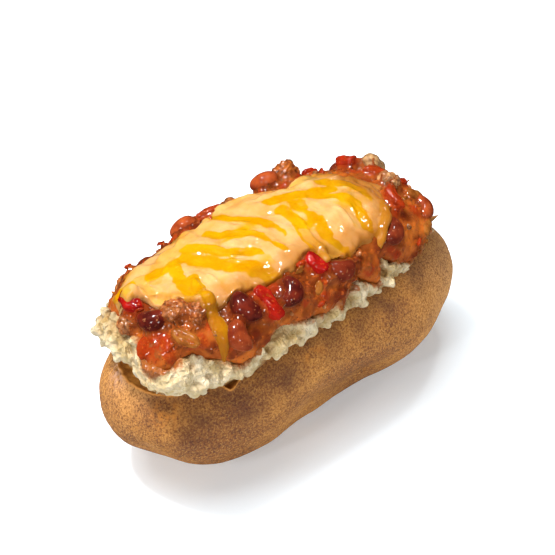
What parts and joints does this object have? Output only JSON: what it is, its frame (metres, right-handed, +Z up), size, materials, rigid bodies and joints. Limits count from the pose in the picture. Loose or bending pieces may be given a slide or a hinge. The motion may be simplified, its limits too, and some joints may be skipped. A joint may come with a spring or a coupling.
{
  "type": "loaded baked potato",
  "caption": "Whole baked potato slit open along the top, its fluffed flesh heaped up and covered with bean and beef chili and melted cheese.",
  "frame": {"origin": "on the ground under the middle of the whole potato", "axes": "+X along the potato towards its rounder, less heaped end; +Z up"},
  "size_m": [0.1498, 0.0738, 0.0782],
  "materials": {
    "skin": "dry baked skin, matt, finely speckled tan and dark brown",
    "flesh": "soft moist mashed crumbs",
    "chili": "thick wet sauce, glossy",
    "cheese": "melted, smooth and glossy, slightly translucent",
    "bean": "smooth glossy bean coated in sauce",
    "tomato": "wet cooked tomato",
    "beef": "coarse cooked crumble, moist",
    "onion": "translucent cooked onion and pepper, glossy"
  },
  "bodies": {
    "root": {"potato": "skin", "flesh": "flesh", "chili": "chili", "cheese": "cheese", "bean_1": "bean", "bean_2": "bean", "bean_3": "bean", "bean_4": "bean", "bean_5": "bean", "bean_6": "bean", "bean_7": "bean", "bean_8": "bean", "bean_9": "bean", "bean_10": "bean", "bean_11": "bean", "tomato_1": "tomato", "tomato_2": "tomato", "tomato_3": "tomato", "tomato_4": "tomato", "tomato_5": "tomato", "tomato_6": "tomato", "tomato_7": "tomato", "tomato_8": "tomato", "tomato_9": "tomato", "tomato_10": "tomato", "tomato_11": "tomato", "beef_1": "beef", "beef_2": "beef", "beef_3": "beef", "beef_4": "beef", "beef_5": "beef", "beef_6": "beef", "beef_7": "beef", "beef_8": "beef", "onion_1": "onion", "onion_2": "onion", "onion_3": "onion"}
  },
  "joints": []
}
